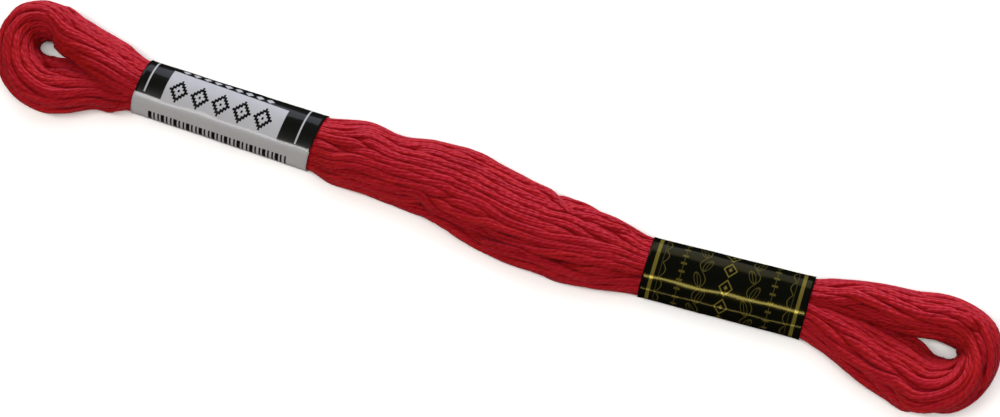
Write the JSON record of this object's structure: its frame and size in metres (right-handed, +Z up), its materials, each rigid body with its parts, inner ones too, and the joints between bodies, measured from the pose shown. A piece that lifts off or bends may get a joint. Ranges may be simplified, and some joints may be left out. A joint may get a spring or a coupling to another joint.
{
  "type": "skein of embroidery floss",
  "caption": "Skein of crimson six-strand cotton embroidery floss, wound as a long flat hank with an open eye at each end and held by two printed paper bands.",
  "frame": {"origin": "middle of the outline, on the surface that the skein lies on", "axes": "+X along the skein from the narrow eye to the wide eye, +Z up from the surface, +Y across the skein"},
  "size_m": [0.1756, 0.0281, 0.0095],
  "materials": {
    "floss": "mercerised cotton, softly lustrous crimson",
    "number_band_paper": "glossy white label paper with black print",
    "makers_band_paper": "glossy black label paper with gold ornament"
  },
  "bodies": {
    "root": {"floss_hank": "floss", "number_band": "number_band_paper", "makers_band": "makers_band_paper"}
  },
  "joints": []
}
